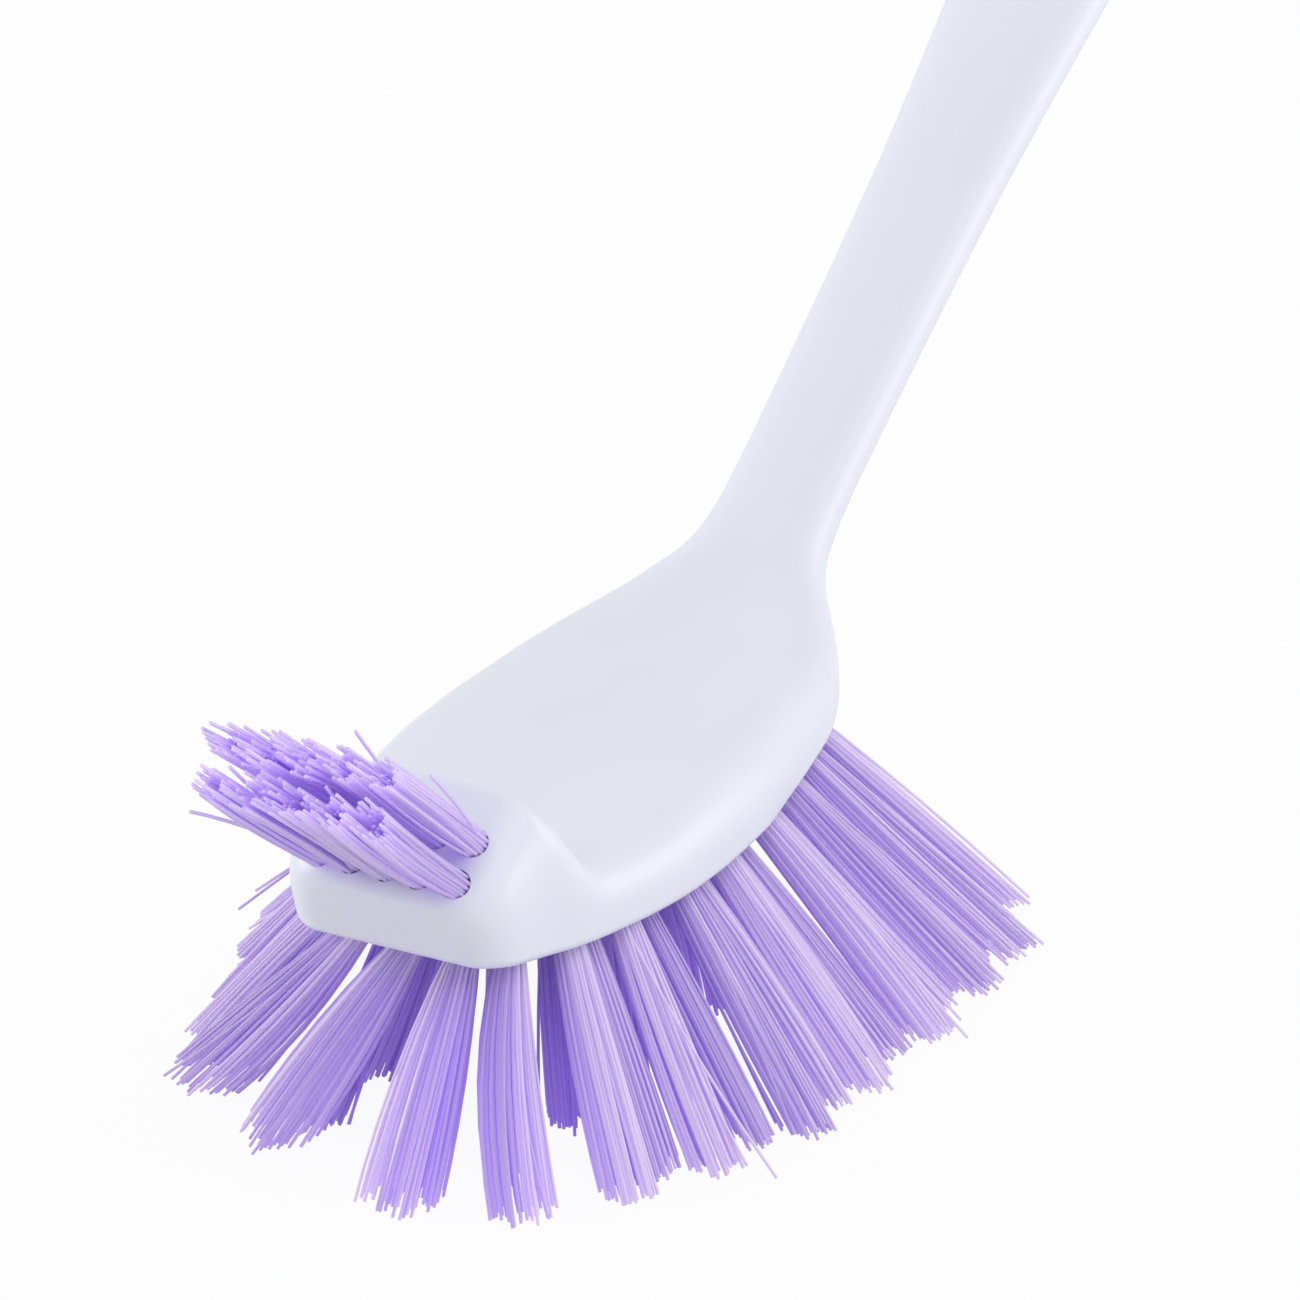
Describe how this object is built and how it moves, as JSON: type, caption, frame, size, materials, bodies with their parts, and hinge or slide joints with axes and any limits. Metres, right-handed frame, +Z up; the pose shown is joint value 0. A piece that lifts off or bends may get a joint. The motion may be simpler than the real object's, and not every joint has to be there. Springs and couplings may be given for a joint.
{
  "type": "dish brush",
  "caption": "Dish brush with a spoon-shaped moulded head, a raised nose, bristle tufts below and on the nose, and a straight rising handle with a hang hole.",
  "frame": {"origin": "middle of the brush's length and width, on the surface that its trimmed bristle tips stand on", "axes": "+X from the nose towards the handle's end, +Z up, +Y to the left when looking from the nose to the handle"},
  "size_m": [0.2622, 0.1008, 0.1253],
  "materials": {
    "white_plastic": "smooth soft gloss, slightly translucent polypropylene",
    "lavender_bristle": "extruded filament with a silky sheen, trimmed ends"
  },
  "bodies": {
    "root": {"head_and_handle": "white_plastic", "tuft_inner_left_01": "lavender_bristle", "tuft_inner_left_02": "lavender_bristle", "tuft_inner_left_03": "lavender_bristle", "tuft_inner_left_04": "lavender_bristle", "tuft_inner_left_05": "lavender_bristle", "tuft_inner_left_06": "lavender_bristle", "tuft_inner_left_07": "lavender_bristle", "tuft_inner_right_01": "lavender_bristle", "tuft_inner_right_02": "lavender_bristle", "tuft_inner_right_03": "lavender_bristle", "tuft_inner_right_04": "lavender_bristle", "tuft_inner_right_05": "lavender_bristle", "tuft_inner_right_06": "lavender_bristle", "tuft_inner_right_07": "lavender_bristle", "tuft_middle_left_01": "lavender_bristle", "tuft_middle_left_02": "lavender_bristle", "tuft_middle_left_03": "lavender_bristle", "tuft_middle_left_04": "lavender_bristle", "tuft_middle_left_05": "lavender_bristle", "tuft_middle_left_06": "lavender_bristle", "tuft_middle_right_01": "lavender_bristle", "tuft_middle_right_02": "lavender_bristle", "tuft_middle_right_03": "lavender_bristle", "tuft_middle_right_04": "lavender_bristle", "tuft_middle_right_05": "lavender_bristle", "tuft_middle_right_06": "lavender_bristle", "tuft_nose_front_1": "lavender_bristle", "tuft_nose_front_2": "lavender_bristle", "tuft_nose_front_3": "lavender_bristle", "tuft_nose_front_4": "lavender_bristle", "tuft_nose_front_5": "lavender_bristle", "tuft_nose_rear_1": "lavender_bristle", "tuft_nose_rear_2": "lavender_bristle", "tuft_nose_rear_3": "lavender_bristle", "tuft_nose_rear_4": "lavender_bristle", "tuft_nose_rear_5": "lavender_bristle", "tuft_outer_front": "lavender_bristle", "tuft_outer_left_01": "lavender_bristle", "tuft_outer_left_02": "lavender_bristle", "tuft_outer_left_03": "lavender_bristle", "tuft_outer_left_04": "lavender_bristle", "tuft_outer_left_05": "lavender_bristle", "tuft_outer_left_06": "lavender_bristle", "tuft_outer_left_07": "lavender_bristle", "tuft_outer_left_08": "lavender_bristle", "tuft_outer_left_09": "lavender_bristle", "tuft_outer_left_10": "lavender_bristle", "tuft_outer_left_11": "lavender_bristle", "tuft_outer_right_01": "lavender_bristle", "tuft_outer_right_02": "lavender_bristle", "tuft_outer_right_03": "lavender_bristle", "tuft_outer_right_04": "lavender_bristle", "tuft_outer_right_05": "lavender_bristle", "tuft_outer_right_06": "lavender_bristle", "tuft_outer_right_07": "lavender_bristle", "tuft_outer_right_08": "lavender_bristle", "tuft_outer_right_09": "lavender_bristle", "tuft_outer_right_10": "lavender_bristle", "tuft_outer_right_11": "lavender_bristle"}
  },
  "joints": []
}
